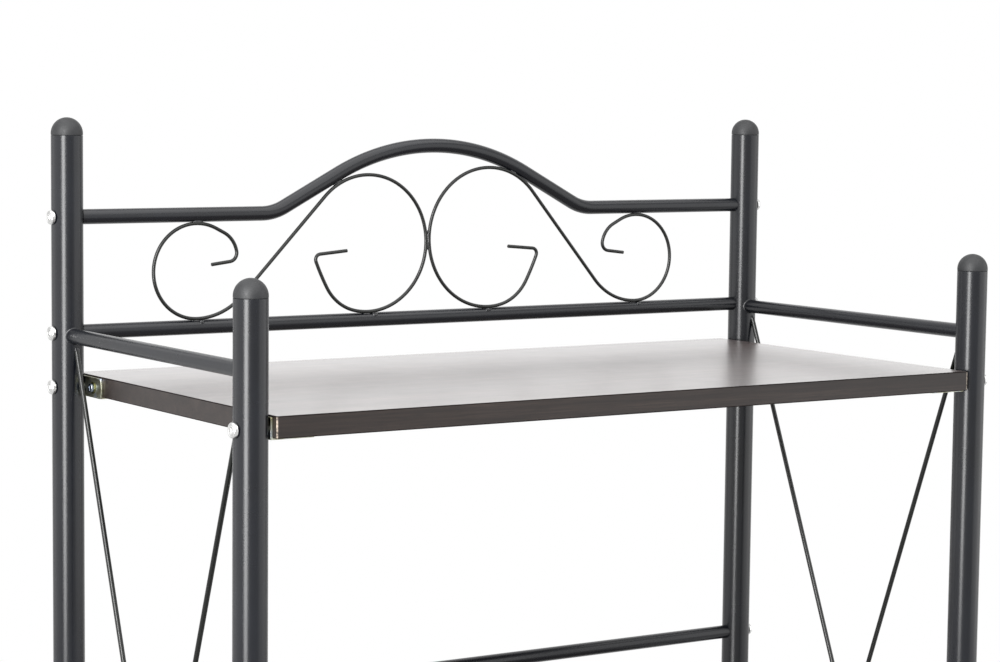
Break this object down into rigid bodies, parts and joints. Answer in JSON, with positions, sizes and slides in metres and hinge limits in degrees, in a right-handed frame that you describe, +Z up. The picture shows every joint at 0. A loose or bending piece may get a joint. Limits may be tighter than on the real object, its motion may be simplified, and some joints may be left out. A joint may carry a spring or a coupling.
{
  "type": "bakers rack",
  "caption": "Free-standing bakers rack of black steel tube, with an arched scrollwork back panel, V-braced side frames and dark wood-grain shelves.",
  "frame": {"origin": "on the floor, midway between the four posts", "axes": "+Z up, +X to the right seen from the front, -Y towards the front"},
  "size_m": [0.706, 0.33, 1.1],
  "materials": {
    "black_powder_coat": "satin gloss black powder coat on steel tube",
    "black_rod": "satin black powder coat on bent steel rod",
    "wenge_board": "dark brown wood-grain foil, low sheen",
    "zinc_plate": "bright zinc plate",
    "chrome_bolt": "bright nickel plate",
    "grey_cap": "matte dark grey moulded plastic",
    "black_plastic": "matte black moulded plastic"
  },
  "bodies": {
    "rack": {"arched_top_rail": "black_powder_coat", "back_rail_bottom": "black_powder_coat", "back_rail_middle": "black_powder_coat", "brace_rod_left_middle_front": "black_rod", "brace_rod_left_middle_rear": "black_rod", "brace_rod_left_top_front": "black_rod", "brace_rod_left_top_rear": "black_rod", "brace_rod_right_middle_front": "black_rod", "brace_rod_right_middle_rear": "black_rod", "brace_rod_right_top_front": "black_rod", "brace_rod_right_top_rear": "black_rod", "bracket_base_screws": "zinc_plate", "bracket_end_screws": "zinc_plate", "bracket_end_washers": "zinc_plate", "foot_sockets": "black_plastic", "post_caps": "grey_cap", "post_front_left": "black_powder_coat", "post_front_right": "black_powder_coat", "post_rear_left": "black_powder_coat", "post_rear_right": "black_powder_coat", "rail_bolts": "chrome_bolt", "rail_inserts": "zinc_plate", "scroll_left": "black_rod", "scroll_panel_rail": "black_powder_coat", "scroll_right": "black_rod", "shelf_bolts": "chrome_bolt", "shelf_bottom": "wenge_board", "shelf_brackets_bottom": "zinc_plate", "shelf_brackets_middle": "zinc_plate", "shelf_brackets_top": "zinc_plate", "shelf_middle": "wenge_board", "shelf_top": "wenge_board", "side_rail_left_bottom": "black_powder_coat", "side_rail_left_middle": "black_powder_coat", "side_rail_left_top": "black_powder_coat", "side_rail_right_bottom": "black_powder_coat", "side_rail_right_middle": "black_powder_coat", "side_rail_right_top": "black_powder_coat"},
    "foot_front_left": {"foot_stud_front_left": "zinc_plate", "foot_pad_front_left": "black_plastic"},
    "foot_front_right": {"foot_stud_front_right": "zinc_plate", "foot_pad_front_right": "black_plastic"},
    "foot_rear_left": {"foot_stud_rear_left": "zinc_plate", "foot_pad_rear_left": "black_plastic"},
    "foot_rear_right": {"foot_stud_rear_right": "zinc_plate", "foot_pad_rear_right": "black_plastic"}
  },
  "joints": [
    {"name": "level_front_left", "type": "slide", "parent": "rack", "child": "foot_front_left", "axis": [0, 0, -1], "range_m": [0, 0.012]},
    {"name": "level_front_right", "type": "slide", "parent": "rack", "child": "foot_front_right", "axis": [0, 0, -1], "range_m": [0, 0.012]},
    {"name": "level_rear_left", "type": "slide", "parent": "rack", "child": "foot_rear_left", "axis": [0, 0, -1], "range_m": [0, 0.012]},
    {"name": "level_rear_right", "type": "slide", "parent": "rack", "child": "foot_rear_right", "axis": [0, 0, -1], "range_m": [0, 0.012]}
  ]
}
